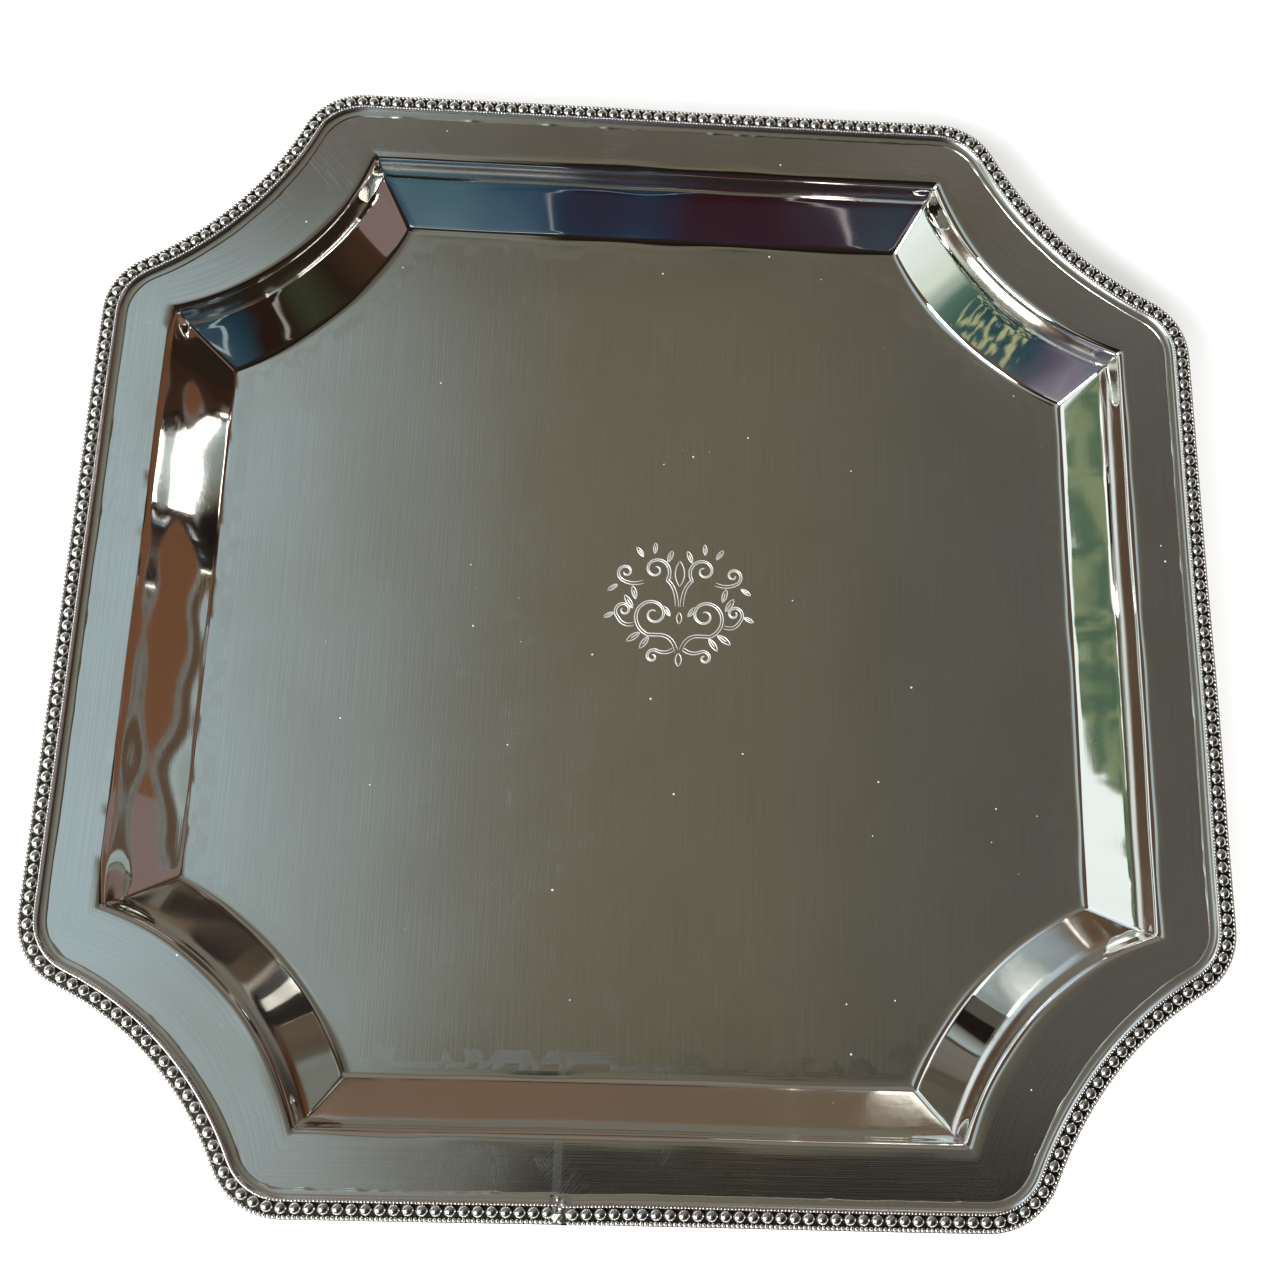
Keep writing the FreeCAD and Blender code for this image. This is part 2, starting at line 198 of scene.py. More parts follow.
class Shell:
    """Collects vertices, faces, and for the materials a finish and a flow for each vertex. On the beaded
    strip the finish also carries painted shade.
    """

    def __init__(self):
        self.points = []
        self.faces = []
        self.finish_and_shade = []
        self.flow = []
        self.slots = []
        self.count = 0

    def add(self, points, faces, finish_and_shade, flow=None, slots=None):
        """Adds a patch whose faces number its own points from 0. flow is (distance along, distance
        across) the direction in which the surface was worked, and slots a material for each face."""
        points = np.asarray(points, float)
        self.points.append(points)
        self.finish_and_shade.append(np.broadcast_to(finish_and_shade, len(points)).astype(float))
        self.flow.append(points[:, :2] if flow is None else flow)
        self.faces += [[number + self.count for number in face] for face in faces]
        self.slots += [0] * len(faces) if slots is None else list(slots)
        self.count += len(points)


def make_piece(name, shell, materials, node, sharp_degrees):
    """A piece in metres that stands for a CAD node and rides on the root body."""
    mesh = bpy.data.meshes.new(name)
    points = hand_work(np.concatenate(shell.points)) * MM
    mesh.from_pydata(points.tolist(), [], shell.faces)
    for material in materials:
        mesh.materials.append(material)
    mesh.polygons.foreach_set("material_index", shell.slots)
    mesh.polygons.foreach_set("use_smooth", [True] * len(mesh.polygons))
    finish_and_shade = mesh.attributes.new("finish_and_shade", "FLOAT", "POINT")
    finish_and_shade.data.foreach_set("value", np.concatenate(shell.finish_and_shade))
    flow = np.concatenate(shell.flow)
    vectors = mesh.attributes.new("flow", "FLOAT_VECTOR", "POINT")
    vectors.data.foreach_set("vector", np.c_[flow, np.zeros(len(flow))].ravel())
    joined = bmesh.new()
    joined.from_mesh(mesh)
    bmesh.ops.remove_doubles(joined, verts=joined.verts, dist=WELD)
    joined.to_mesh(mesh)
    joined.free()
    mesh.set_sharp_from_angle(angle=math.radians(sharp_degrees))
    piece = bpy.data.objects.new(name, mesh)
    bpy.context.scene.collection.objects.link(piece)
    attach(piece, "root")
    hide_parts(node)


def ring_faces(rows, count, closed=True):
    """Quads between rows of count points each, numbered row by row."""
    here = np.arange(count if closed else count - 1)
    following = (here + 1) % count
    faces = []
    for row in range(rows - 1):
        low, high = row * count, (row + 1) * count
        faces.append(np.c_[low + here, low + following, high + following, high + here])
    return np.concatenate(faces).tolist()


# ---------------------------------------------------------------- engraved ornament

ORNAMENT_CENTRE = np.array((9.0, 7.0))
RIBBON = 0.42  # half the space between the two lines of a ribbon
CUT_HALF_WIDTH = 0.15
CUT_SLOPE = 0.45  # depth of a cut over its half width
LINE_STEP = 0.45


def volute(centre, radius, start_degrees, turns, inner_radius):
    """A spiral from its outer end inwards. Positive turns run counter-clockwise."""
    length = abs(turns) * math.tau * (radius + inner_radius) / 2
    share = np.linspace(0, 1, max(8, int(length / LINE_STEP)))
    angles = math.radians(start_degrees) + turns * math.tau * share
    radii = radius * (inner_radius / radius) ** share
    return np.array(centre) + radii[:, None] * np.c_[np.cos(angles), np.sin(angles)]


def bow(start, bend, end):
    """A curve from start to end, pulled towards bend."""
    start, bend, end = (np.array(point, float) for point in (start, bend, end))
    length = np.linalg.norm(bend - start) + np.linalg.norm(end - bend)
    share = np.linspace(0, 1, max(6, int(length / LINE_STEP)))[:, None]
    return (1 - share) ** 2 * start + 2 * share * (1 - share) * bend + share**2 * end


def sideways(curve):
    """Unit vectors to the left of a curve at each of its points."""
    direction = np.gradient(curve, axis=0)
    direction /= np.linalg.norm(direction, axis=1)[:, None]
    return np.c_[-direction[:, 1], direction[:, 0]]


def ribbon(curve):
    """The two edges of a ribbon that narrows to its far end."""
    width = RIBBON * np.linspace(1, 0.15, len(curve))[:, None]
    return [curve + sideways(curve) * width, curve - sideways(curve) * width]


def leaf(root, tip, belly):
    """Two bowed lines from root to tip, and a vein between them."""
    root, tip = np.array(root, float), np.array(tip, float)
    across = np.array((root[1] - tip[1], tip[0] - root[0]))
    middle = (root + tip) / 2
    sides = [bow(root, middle + across * belly * sign, tip) for sign in (1, -1)]
    return sides + [bow(root, middle, root + (tip - root) * 0.7)]


SCROLLS = (
    (((0.5, -13), (1.5, -8.5), (5.2, -8.6)), ((6.6, -3.2), 5.6, 285, 1.55, 1.0)),
    (((0.6, -1.5), (0.6, 4), (3.2, 6.2)), ((6.3, 8.9), 4.1, 221, -1.4, 0.8)),
    (((11.4, -5.8), (14.2, -7), (15.8, -4.2)), ((14.2, -2.3), 2.5, 310, 1.3, 0.6)),
    (((9.2, 5.6), (12.5, 4.2), (15.2, 6)), ((13.9, 8.0), 2.4, 302, 1.2, 0.6)),
    (((1.0, -12), (3.2, -14), (6, -12.6)), ((6.6, -14.4), 1.9, 108, -1.1, 0.5)),
)
LEAVES = (
    ((7.6, -9.0), (10.0, -12.4)),
    ((9.8, -8.0), (13.4, -10.6)),
    ((11.9, -1.8), (14.2, 1.8)),
    ((11.2, 0.6), (12.2, 4.4)),
    ((9.4, 12.2), (11.4, 15.0)),
    ((6.6, 13.2), (6.4, 16.4)),
    ((3.2, 11.0), (1.9, 14.4)),
    ((2.2, -3.6), (4.2, -0.8)),
    ((15.9, 4.6), (18.6, 2.8)),
    ((16.6, -3.0), (19.4, -4.4)),
)
BUDS = (
    ((0, 4.5), (2.4, 8), (0, 11.6)),
    ((0, -16.8), (1.5, -15), (0, -13.2)),
    ((0, -5.6), (1.3, -4), (0, -2.4)),
)
LEAF_BELLY = 0.3


def ornament_lines():
    """Scrolls that grow from a stem, with leaves on their outer sides and buds on the upright axis,
    the same on both sides of it."""
    half = []
    for stem, spiral in SCROLLS:
        half += ribbon(np.r_[bow(*stem), volute(*spiral)])
    for root, tip in LEAVES:
        half += leaf(root, tip, LEAF_BELLY)
    half += [bow(*points) for points in BUDS]
    mirrored = [line * np.array((-1, 1)) for line in half]
    return [line + ORNAMENT_CENTRE for line in half + mirrored]


def cut_widths(line):
    """Half the width of a graver's cut along a line: fine at both ends."""
    share = np.linspace(0, 1, len(line))
    return CUT_HALF_WIDTH * np.sin(math.pi * share).clip(0, 1) ** 0.35 + 0.01


def cut_depth(points, lines):
    """How deep the cuts are at points of the plan: V-shaped across each line."""
    depth = np.zeros(len(points))
    for line in lines:
        widths = cut_widths(line)
        starts, step = line[:-1], np.diff(line, axis=0)
        reach = CUT_HALF_WIDTH * 2
        near = np.all((points > line.min(0) - reach) & (points < line.max(0) + reach), axis=1)
        chosen = np.flatnonzero(near)
        if not len(chosen):
            continue
        away = points[chosen][:, None] - starts
        share = np.clip((away * step).sum(2) / (step**2).sum(1), 0, 1)
        distance = np.linalg.norm(away - share[..., None] * step, axis=2)
        width = widths[:-1] + (widths[1:] - widths[:-1]) * share
        depth[chosen] = np.maximum(depth[chosen], (CUT_SLOPE * (width - distance)).max(1))
    return depth


# ---------------------------------------------------------------- raised sheet

FLOOR_INSET = 33.0  # where the booge's rings end and the flat floor's triangles begin
FLOOR_GRID = 4.0
CREASE_TOP = 0.9
CREASE_FOOT = 1.3
BEND_STEPS = 9
WALL_STEPS = 20
WALL_SLOPES = (math.radians(77), math.radians(53), math.radians(51))  # rim, turn and foot
TURN_START, TURN_END = 0.05, 0.40  # where down the wall its steep top turns into its flatter part
LEFT_STRAIGHTNESS = 0.9  # how nearly the left wall is an even slope; 1 is quite even
LEFT_WALL_FROM = -78.0  # the wall lies to the left of this
LEFT_WALL_END = 78.0  # half the length over which it is straightened
LEFT_WALL_FADE = 16.0  # and the length over which that fades at each end
TOP_BENDS = (2.2, 2.6)  # at the rim and at the well
UNDER_BENDS = (3.0, 3.4)
EDGE_ROUND = 0.15
RIM_RINGS = (EDGE_ROUND, 2.0, 4.0, 6.0, 8.0)
RIM_SHARES = (0.2, 0.4, 0.6, 0.8)
WALL_WAVE = 0.20  # unevenness of the raised wall
FLAT_WAVE = 0.05
FLAT_ROOM = 0.09  # lifts the well so that no wave of it reaches below the table


def booge_profile(rim_level, floor_level, shift, bends):
    """(inset, level) points from rim to well, moved outward by shift: a bend at the rim, a wall that
    is steep only just under the rim and flatter below, and a bend at the well."""
    steep, turned, gentle = WALL_SLOPES
    top_bend, foot_bend = bends
    by_bends = top_bend * (1 - math.cos(steep)) + foot_bend * (1 - math.cos(gentle))
    bend_shares = (np.arange(BEND_STEPS) + 0.5) / BEND_STEPS
    wall_shares = (np.arange(WALL_STEPS) + 0.5) / WALL_STEPS
    eased = np.clip((wall_shares - TURN_START) / (TURN_END - TURN_START), 0, 1)
    wall_slopes = steep + (turned - steep) * eased * eased * (3 - 2 * eased)
    wall_slopes += (gentle - turned) * np.clip((wall_shares - TURN_END) / (1 - TURN_END), 0, 1)
    wall = (rim_level - floor_level - by_bends) / np.mean(np.sin(wall_slopes))
    slopes = np.concatenate((steep * bend_shares, wall_slopes, gentle * (1 - bend_shares)))
    lengths = np.repeat(
        (top_bend * steep / BEND_STEPS, wall / WALL_STEPS, foot_bend * gentle / BEND_STEPS),
        (BEND_STEPS, WALL_STEPS, BEND_STEPS),
    )
    insets = np.r_[0, np.cumsum(np.cos(slopes) * lengths)]
    drops = np.r_[0, np.cumsum(np.sin(slopes) * lengths)]
    middle_level = (rim_level + floor_level) / 2
    middle_inset = BOOGE_FOOT - (middle_level - WELL_FACE) * BOOGE_RUN / WELL_DEPTH - shift
    levels = rim_level - drops * (rim_level - floor_level) / drops[-1]
    return np.c_[insets - insets[-1] / 2 + middle_inset, levels]


def straighter(plan):
    """How nearly the wall is an even slope at points of the plan: LEFT_STRAIGHTNESS along the left
    wall, less towards its ends, and 0 elsewhere."""
    from_end = np.clip((LEFT_WALL_END - np.abs(plan[:, 1])) / LEFT_WALL_FADE, 0, 1)
    eased = from_end * from_end * (3 - 2 * from_end)
    share = LEFT_STRAIGHTNESS * (eased * (plan[:, 0] < LEFT_WALL_FROM))
    return share[:, None]


def sheet_rings(rim_level, floor_level, shift, bends):
    """Rings of one face of the sheet, from the edge in to where the floor begins. Each ring is
    (plan points, level, polish); polish is 1 on the bright wall and 0 on the satin flats."""
    profile = booge_profile(rim_level, floor_level, shift, bends)
    start, end = profile[0, 0], profile[-1, 0]
    rings = [(edge_outline(inset), rim_level, 0.0) for inset in RIM_RINGS]
    outer, inner = rings[-1][0], booge_outline(start, CREASE_TOP)
    rings += [(outer + (inner - outer) * share, rim_level, 0.0) for share in RIM_SHARES]
    for inset, level in profile:
        share = (inset - start) / (end - start)
        crease = CREASE_TOP + (CREASE_FOOT - CREASE_TOP) * share
        polish = min(1.0, 3.0 * math.sin(math.pi * share))
        plan = booge_outline(inset, crease)
        even_inset = start + (end - start) * (rim_level - level) / (rim_level - floor_level)
        plan += (booge_outline(even_inset, crease) - plan) * straighter(plan)
        rings.append((plan, level, max(0.0, polish)))
    for inset in (end + 0.8, FLOOR_INSET):
        rings.append((booge_outline(inset, CREASE_FOOT), floor_level, 0.0))
    return rings


def uneven(plan, level, polish):
    """Heights of points of the sheet, with the slight waves that the hammer leaves."""
    wave = WALL_WAVE * polish * ripple(plan, 26, 21) + FLAT_WAVE * ripple(plan, 60, 22)
    return level + wave + FLAT_ROOM * (1 - level / RIM_FACE)


def floor_patch(boundary, level, lines):
    """Triangles that fill the floor inside a boundary, with the ornament cut into them: points,
    faces and a material number for each face."""
    reach = np.arange(-HALF_SIDE, HALF_SIDE, FLOOR_GRID)
    grid = np.stack(np.meshgrid(reach, reach), -1).reshape(-1, 2)
    grid = grid[booge_inset_of(grid) > FLOOR_INSET + FLOOR_GRID / 2]
    tracks = []
    for line in lines:
        side = sideways(line) * cut_widths(line)[:, None]
        tracks += [line, line + side, line - side]
    if tracks:
        low = np.min([track.min(0) for track in tracks], axis=0)
        high = np.max([track.max(0) for track in tracks], axis=0)
        grid = grid[np.any((grid < low) | (grid > high), axis=1)]
    count = len(boundary)
    edges = [(number, (number + 1) % count) for number in range(count)]
    total = count + len(grid)
    for track in tracks:
        edges += [(number, number + 1) for number in range(total, total + len(track) - 1)]
        total += len(track)
    flat = [Vector(point) for point in np.concatenate([boundary, grid] + tracks)]
    found, _, triangles, _, _, _ = delaunay_2d_cdt(flat, edges, [], 1, 1e-5)
    found = np.array([tuple(point) for point in found])
    triangles = np.array([list(triangle) for triangle in triangles])
    slots = (cut_depth(found[triangles].mean(1), lines) > 0.01).astype(int)
    heights = uneven(found, level, 0.0) - cut_depth(found, lines)
    return np.c_[found, heights], triangles, slots


def raised_sheet(satin, engraved):
    """Rim, booge and well, with the underside: one sheet of even thickness."""
    shell = Shell()
    shift = GAUGE * math.hypot(WELL_DEPTH, BOOGE_RUN) / WELL_DEPTH
    top = sheet_rings(RIM_FACE, WELL_FACE, 0, TOP_BENDS)
    under = sheet_rings(RIM_FACE - GAUGE, 0, shift, UNDER_BENDS)
    lip_levels = (RIM_FACE - GAUGE + EDGE_ROUND, RIM_FACE - EDGE_ROUND)
    lip = [(edge_outline(0), level, 0.0) for level in lip_levels]
    rings = under[::-1] + lip + top
    count = len(rings[0][0])
    middle = edge_outline(BOOGE_TOP / 2)
    steps = np.linalg.norm(np.diff(middle, axis=0), axis=1)
    along = np.r_[0, np.cumsum(steps)]
    points, finish_and_shade, flow = [], [], []
    for plan, level, polish in rings:
        points.append(np.c_[plan, uneven(plan, level, polish)])
        finish_and_shade.append(np.full(count, polish))
        flow.append(np.c_[along, booge_inset_of(plan)])
    faces = ring_faces(len(rings), count)
    shell.add(np.concatenate(points), faces, np.concatenate(finish_and_shade), np.concatenate(flow))
    for boundary, level, lines in ((top[-1][0], WELL_FACE, ornament_lines()), (under[-1][0], 0, [])):
        solid, triangles, slots = floor_patch(boundary, level, lines)
        if level == 0:
            triangles = triangles[:, ::-1]
        shell.add(solid, triangles.tolist(), 0.0, solid[:, 1::-1], slots.tolist())
    make_piece("raised_sheet", shell, [satin, engraved], "tray_body", 20)


# ---------------------------------------------------------------- beaded border

STRIP_INNER = 6.4
STRIP_FOOT = 0.25
CHANNEL_FLOOR = 0.45
RIDGE_TOP = 1.1
COVE_RADIUS = 1.6
COVE_END = 5.75
COVE_STEPS = 7
STRIP_STEP = 1.5
JOINT_GAP = 0.7
JOINT_STEP = 0.3  # the strip's right end stands out by this much
JOINT_STEP_LENGTH = 9.0
# Rows of domes: in from the edge, height of their middles above the rim face, half sizes along,
# across and up, pitch, rows and points of each dome, how far it is sunk and from where it is clean
# in degrees (below that angle its foot is darkened with tarnish and painted shade), and the length
# that is left bare at the joint.
PEARLS = (2.65, CHANNEL_FLOOR, (1.42, 1.34, 1.15), 3.03, 5, 16, 8, 20, JOINT_BARE)
BEADS = (0.83, 0.5, (0.5, 0.48, 0.48), 1.045, 4, 9, 20, 18, 4.0)
MILLING = (4.25, 1.0, (0.37, 0.34, 0.3), 0.78, 3, 8, 10, 18, 1.6)


class Track:
    """A path along the border at some inset, from one side of the closing joint to the other."""

    def __init__(self, inset):
        self.points = edge_outline(inset)
        self.points = np.r_[self.points, self.points[:1]]
        steps = np.linalg.norm(np.diff(self.points, axis=0), axis=1)
        self.lengths = np.r_[0, np.cumsum(steps)]
        self.length = self.lengths[-1]

    def on_path(self, distances):
        columns = [np.interp(distances, self.lengths, column) for column in self.points.T]
        return np.stack(columns, axis=1)

    def at(self, distances):
        """Points at distances along the path, and the outward direction there."""
        direction = self.on_path(distances + 0.3) - self.on_path(distances - 0.3)
        direction /= np.linalg.norm(direction, axis=1)[:, None]
        outward = np.c_[direction[:, 1], -direction[:, 0]]
        stands_out = JOINT_STEP * np.exp(-((distances / JOINT_STEP_LENGTH) ** 2))
        return self.on_path(distances) + outward * stands_out[:, None], outward


def strip_profile():
    """(inset, height above the rim face, how clean and lit the metal is) across the strip's base; where it
    is low, in the channel and hollows, the silver gets tarnish and painted shade.
    """
    profile = [
        (0.34, 0.0, 0.4),
        (0.34, 0.28, 0.4),
        (0.5, 0.36, 0.1),
        (1.2, 0.36, 0.0),
        (1.4, CHANNEL_FLOOR, 0.0),
        (3.9, CHANNEL_FLOOR, 0.0),
        (3.97, 1.0, 0.25),
        (4.1, RIDGE_TOP, 0.5),
        (4.42, RIDGE_TOP, 0.6),
    ]
    start, end = np.array((4.55, RIDGE_TOP)), np.array((COVE_END, STRIP_FOOT))
    chord = end - start
    drop = math.sqrt(COVE_RADIUS**2 - chord @ chord / 4)
    upward = np.array((-chord[1], chord[0])) / np.linalg.norm(chord)
    centre = (start + end) / 2 + upward * drop
    first, last = (math.atan2(*(point - centre)[::-1]) for point in (start, end))
    for angle in np.linspace(first, last, COVE_STEPS):
        inset, height = centre + COVE_RADIUS * np.array((math.cos(angle), math.sin(angle)))
        profile.append((inset, height, 0.75))
    profile += [(STRIP_INNER, STRIP_FOOT - 0.08, 0.9), (STRIP_INNER, 0.0, 0.5)]
    return profile


def dome(half_sizes, rows, around, sunk_degrees, clean_and_lit_degrees):
    """Points, faces and finish of a dome with half sizes (along, across, up). The finish rises from 0 at
    the sunk foot to 1 some degrees higher, which darkens the foot with tarnish and painted shade.
    """
    turns = math.tau * np.arange(around) / around
    points, finish_and_shade = [], []
    for rise in np.linspace(-sunk_degrees, 90, rows + 1)[:-1]:
        flat = np.c_[np.cos(turns), np.sin(turns)] * math.cos(math.radians(rise))
        height = np.full(around, math.sin(math.radians(rise)))
        points.append(np.c_[flat, height] * half_sizes)
        finish_and_shade.append(np.full(around, np.clip((rise + sunk_degrees) / clean_and_lit_degrees, 0, 1)))
    points.append(np.array([[0, 0, half_sizes[2]]]))
    finish_and_shade.append([1.0])
    faces = ring_faces(rows, around)
    last = (rows - 1) * around
    faces += [[last + number, last + (number + 1) % around, last + around] for number in range(around)]
    return np.concatenate(points), faces, np.concatenate(finish_and_shade)


def add_row(shell, row):
    """A row of equal domes along the border, from one side of the joint to the other."""
    inset, level, half_sizes, pitch, rows, around, sunk, clean_and_lit, bare = row
    track = Track(inset)
    run = track.length - bare
    gaps = round(run / pitch)
    places, outwards = track.at(bare / 2 + run * np.arange(gaps + 1) / gaps)
    points, faces, finish_and_shade = dome(half_sizes, rows, around, sunk, clean_and_lit)
    for place, outward in zip(places, outwards):
        along = np.array((-outward[1], outward[0]))
        plan = points[:, :1] * along + points[:, 1:2] * outward + place
        shell.add(np.c_[plan, points[:, 2] + RIM_FACE + level], faces, finish_and_shade)


def beaded_strip(material):
    """The border strip: a rolled base with its beads, pearls and milling."""
    shell = Shell()
    gap = JOINT_GAP / 2
    length = Track(STRIP_INNER / 2).length
    stations = int(length / STRIP_STEP)
    shares = np.linspace(gap, length - gap, stations) / length
    rows, finish_and_shade = [], []
    profile = strip_profile()
    for inset, height, clean_and_lit in profile:
        track = Track(inset)
        rows.append(np.c_[track.at(shares * track.length)[0], np.full(stations, RIM_FACE + height)])
        finish_and_shade.append(np.full(stations, clean_and_lit))
    faces = ring_faces(len(profile), stations, closed=False)
    first_end = [row * stations for row in range(len(profile))]
    faces += [first_end[::-1], [number + stations - 1 for number in first_end]]
    shell.add(np.concatenate(rows), faces, np.concatenate(finish_and_shade))
    for row in (PEARLS, BEADS, MILLING):
        add_row(shell, row)
    make_piece("beaded_strip", shell, [material], "beaded_border", 50)


# ---------------------------------------------------------------- solder

SOLDER_SUNK = 0.02  # how far the solder reaches below the rim face
SEAM_FINISH = 0.8
BLOB_FINISH = 0.45
SEAM_STEP = 0.9
SEAM_ROWS = 5
SEAM_TUCK = 0.15  # how far the seam reaches under the strip
BLOB_HALF = 2.6
BLOB_OUTER = 0.38
BLOB_INNER = 6.95
BLOB_STEP = 0.16
BLOB_TOP = 1.55
# Drops of solder beside the joint: (along, in from the edge, radius).
DROPS = ((0.75, 4.75, 0.55), (-0.5, 5.5, 0.45), (0.1, 0.85, 0.4))


def solder_seam(material):
    """The run of solder along the foot of the cove, uneven and with small lumps."""
    shell = Shell()
    path = Track(STRIP_INNER)
    stations = int(path.length / SEAM_STEP)
    shares = np.linspace(0, 1, stations, endpoint=False)
    foot, outward = path.at(shares * path.length)
    lumps = np.clip(ripple(foot, 9, 31) ** 4, 0, 1)
    width = 0.34 + 0.1 * ripple(foot, 14, 32) + 0.22 * lumps
    height = STRIP_FOOT - 0.03 + 0.22 * lumps
    rows = []
    for share in np.linspace(0, 1, SEAM_ROWS):
        plan = foot - outward * ((width + SEAM_TUCK) * share - SEAM_TUCK)[:, None]
        rise = height * math.sqrt(max(0, 1 - share**2)) - 0.02 * share
        rows.append(np.c_[plan, RIM_FACE + rise])
    rows.append(np.c_[rows[0][:, :2], np.full(stations, RIM_FACE - SOLDER_SUNK)])
    rows.append(rows[0])
    shell.add(np.concatenate(rows), ring_faces(len(rows), stations), SEAM_FINISH)
    make_piece("solder_seam", shell, [material], "border_solder_seam", 60)


def joint_blob(material):
    """The untidy solder over the strip's closing joint: it fills the gap and the channel beside it,
    with small lumps, a slanting ridge and a few drops."""
    profile = np.array(strip_profile())[1:-1]
    across = np.arange(BLOB_OUTER, BLOB_INNER, BLOB_STEP)
    along = np.arange(-BLOB_HALF, BLOB_HALF + BLOB_STEP / 2, BLOB_STEP)
    grid_x, grid_inset = np.meshgrid(along, across)
    shape = grid_x.shape
    flat = np.c_[grid_x.ravel(), grid_inset.ravel()]
    base = np.interp(grid_inset, profile[:, 0], profile[:, 1], right=0.0)
    lumps = (0.22 * ripple(flat, 1.5, 41) + 0.12 * ripple(flat, 0.8, 42)).reshape(shape)
    fade = np.clip(1.4 - np.abs(grid_x) / BLOB_HALF * 1.5, 0, 1)
    in_channel = np.clip(1 - np.abs(grid_inset - 2.4) / 1.9, 0, 1)
    slant = grid_x - 0.55 * (grid_inset - 2.6)
    ridge = 0.45 * np.exp(-((slant / 0.34) ** 2)) * in_channel
    height = base - 0.06 + (0.1 + (0.35 + lumps) * in_channel + ridge) * fade
    for drop_x, drop_inset, radius in DROPS:
        away = np.hypot(grid_x - drop_x, grid_inset - drop_inset) / radius
        height = np.maximum(height, base + 0.5 * np.sqrt(np.clip(1 - away**2, 0, 1)))
    height = np.clip(height, 0.0, BLOB_TOP)
    points = np.c_[JOINT_X + grid_x.ravel(), grid_inset.ravel() - HALF_SIDE, RIM_FACE + height.ravel()]
    under = points * (1, 1, 0) + (0, 0, RIM_FACE - SOLDER_SUNK)
    rows, columns = shape
    numbers = np.arange(rows * columns).reshape(shape)
    rim = np.concatenate((numbers[0], numbers[1:, -1], numbers[-1, -2::-1], numbers[-2:0:-1, 0]))
    following = np.roll(rim, -1)
    below = rows * columns
    top_faces = ring_faces(rows, columns, closed=False)
    faces = top_faces + [[number + below for number in face[::-1]] for face in top_faces]
    faces += np.c_[following, rim, rim + below, following + below].tolist()
    shell = Shell()
    shell.add(np.concatenate((points, under)), faces, BLOB_FINISH)
    make_piece("joint_solder", shell, [material], "closing_joint_solder", 60)


# ---------------------------------------------------------------- materials

# Layers of scratches: size of a patch, length and width of a scratch, seed.
FINE_SCRATCHES = (16, 14, 0.05, 1)
MEDIUM_SCRATCHES = (30, 26, 0.09, 2)
LONG_SCRATCHES = (55, 60, 0.12, 3)
FINE_STRENGTH = 0.6
SCRATCH_LINE = 0.012  # how near the middle of the noise a scratch lies
SCRATCH_PRESENT = (0.52, 0.66)
SCRATCH_ROUGHNESS = 0.09
SCRATCH_RELIEF = 0.25
BRUSH_ROUGHNESS = 0.06
STREAK_SHARE = 0.16
STREAK_TONE = 0.55
DUST_CELL = 6
DUST_RADII = (0.014, 0.045)  # in cells
DUST_FREE = 0.25  # share of the cells without a speck
DUST_TONE = 0.8
SATIN_RELIEF = 0.014
RECESS_RELIEF = 0.012
FLOOR_TONE = 0.92
FLOOR_GLOW = 0.45


class Nodes:
    """Builds a node tree. Each call makes one node and fills or links its inputs."""

    def __init__(self, tree):
        self.tree = tree
        tree.nodes.clear()

    def fill(self, socket, value):
        if isinstance(value, bpy.types.NodeSocket):
            self.tree.links.new(value, socket)
        else:
            socket.default_value = value

    def make(self, kind, inputs=None, **settings):
        node = self.tree.nodes.new("ShaderNode" + kind)
        for name, value in settings.items():
            setattr(node, name, value)
        for name, value in (inputs or {}).items():
            self.fill(node.inputs[name], value)
        return node

    def math(self, operation, first, second=0.0):
        return self.make("Math", {0: first, 1: second}, operation=operation).outputs[0]

    def vector(self, operation, first, second):
        place = "Scale" if operation == "SCALE" else 1
        return self.make("VectorMath", {0: first, place: second}, operation=operation).outputs[0]

    def smooth(self, value, low, high, out_low=0.0, out_high=1.0):
        """value between low and high, eased into the range from out_low to out_high."""
        inputs = {"Value": value, "From Min": low, "From Max": high, "To Min": out_low, "To Max": out_high}
        return self.make("MapRange", inputs, interpolation_type="SMOOTHSTEP").outputs["Result"]

    def noise(self, vector, scale, detail=3.0, roughness=0.5, distortion=0.0):
        inputs = {"Vector": vector, "Scale": scale, "Detail": detail}
        inputs |= {"Roughness": roughness, "Distortion": distortion}
        return self.make("TexNoise", inputs).outputs["Fac"]

    def mix(self, factor, first, second):
        """A colour between two colours."""
        return self.make("Mix", {0: factor, 6: first, 7: second}, data_type="RGBA").outputs[2]

    def between(self, factor, first, second):
        """A number between two numbers."""
        return self.make("Mix", {0: factor, 2: first, 3: second}, data_type="FLOAT").outputs[0]

    def ramp(self, factor, stops):
        node = self.make("ValToRGB", {"Fac": factor})
        elements = node.color_ramp.elements
        while len(elements) < len(stops):
            elements.new(1.0)
        for element, (place, colour) in zip(elements, stops):
            element.position = place
            element.color = (*colour, 1)
        return node.outputs["Color"]


def grey(value):
    return (value, value, value, 1)


def new_material(name):
    """A material with an empty tree, and in it the object's place in millimetres and the finish, which on
    the beaded strip also carries painted shade.
    """
    material = bpy.data.materials.new(name)
    material.use_nodes = True
    nodes = Nodes(material.node_tree)
    place = nodes.vector("SCALE", nodes.make("TexCoord").outputs["Object"], 1 / MM)
    finish_and_shade = nodes.make("Attribute", attribute_name="finish_and_shade").outputs["Fac"]
    return material, nodes, place, finish_and_shade


